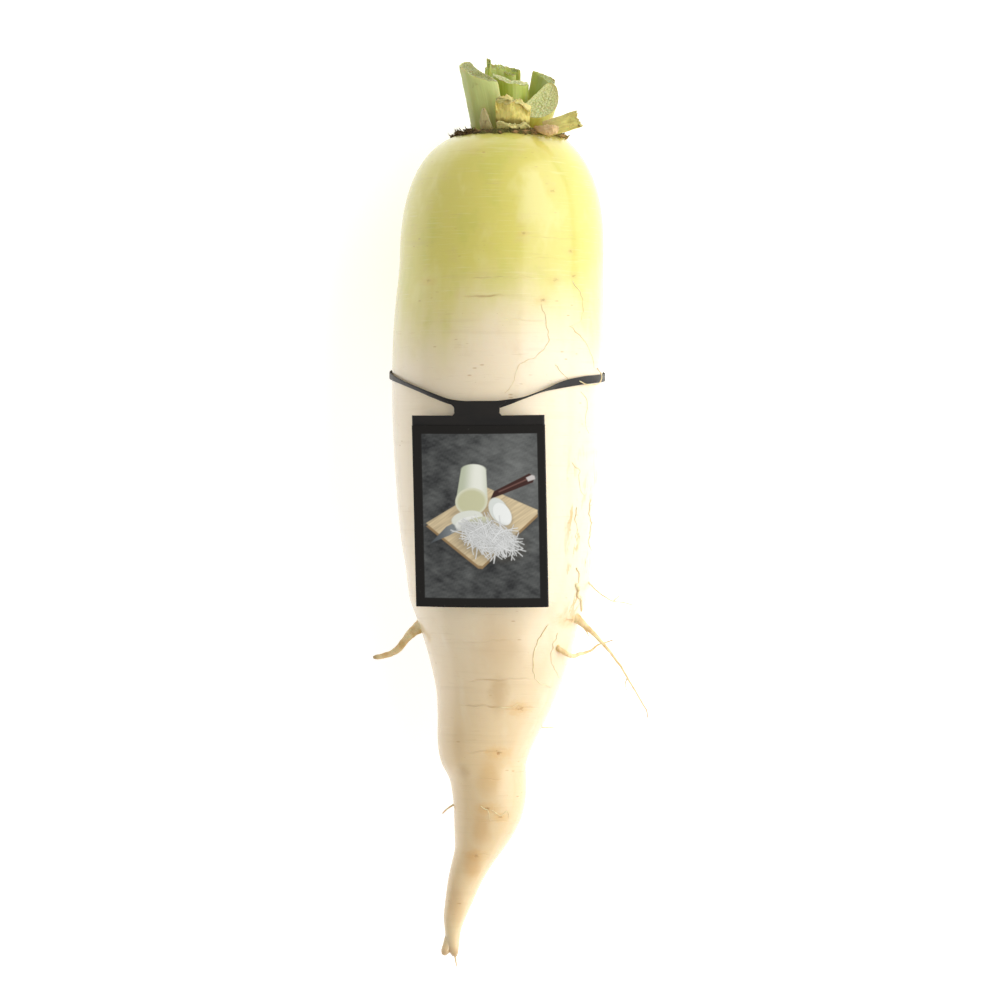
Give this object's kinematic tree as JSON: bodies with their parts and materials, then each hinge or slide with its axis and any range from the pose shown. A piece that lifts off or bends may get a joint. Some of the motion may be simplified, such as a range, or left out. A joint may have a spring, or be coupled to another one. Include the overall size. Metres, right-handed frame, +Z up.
{
  "type": "daikon radish",
  "caption": "Long white radish lying on its belly, with a green shoulder, cut leaf stalks, side roots and a picture tag on an elastic loop round its middle.",
  "frame": {"origin": "on the surface that the radish rests on, below the middle of the whole object's bounding box", "axes": "+Z up, the side that the tag faces; +Y along the root towards the cut leaf stalks; +X to the right when seen from above with the leaf stalks at the top"},
  "size_m": [0.108, 0.353, 0.0846],
  "materials": {
    "root_skin": "moist satin skin of living root: cream, yellow-green on the shoulder; not timber",
    "side_root_skin": "thin tan root skin, satin; not timber",
    "leaf_stalk": "fresh green stalk with a wet, fibrous cut face; not timber",
    "dry_leaf": "withered leaf base, yellow-tan and matt; not timber",
    "leaf_scar": "dry brown fibres of old leaf scars, matt; not timber",
    "tag_card": null,
    "elastic_film": "smooth black elastic film, semi-gloss"
  },
  "bodies": {
    "root": {"taproot": "root_skin", "side_root_left": "side_root_skin", "side_root_right_long": "side_root_skin", "side_root_right_short": "side_root_skin", "hair_root_right_upper": "side_root_skin", "hair_root_right_lower": "side_root_skin", "hair_root_left_lower": "side_root_skin", "hair_root_tip": "side_root_skin", "leaf_stalk_left": "leaf_stalk", "leaf_stalk_right": "leaf_stalk", "leaf_stalk_back_right": "leaf_stalk", "leaf_stalk_back_left": "leaf_stalk", "leaf_stalk_middle": "leaf_stalk", "leaf_stalk_inner": "leaf_stalk", "young_leaf_bud": "leaf_stalk", "young_leaf_spike": "leaf_stalk", "young_leaf_side": "leaf_stalk", "torn_leaf_base": "dry_leaf", "small_leaf_scale": "dry_leaf", "back_leaf_scale": "dry_leaf", "dry_leaf_stub": "dry_leaf", "leaf_scar_collar": "leaf_scar", "tag_front_card": "tag_card", "tag_back_card": "tag_card", "tag_elastic_loop": "elastic_film"}
  },
  "joints": []
}
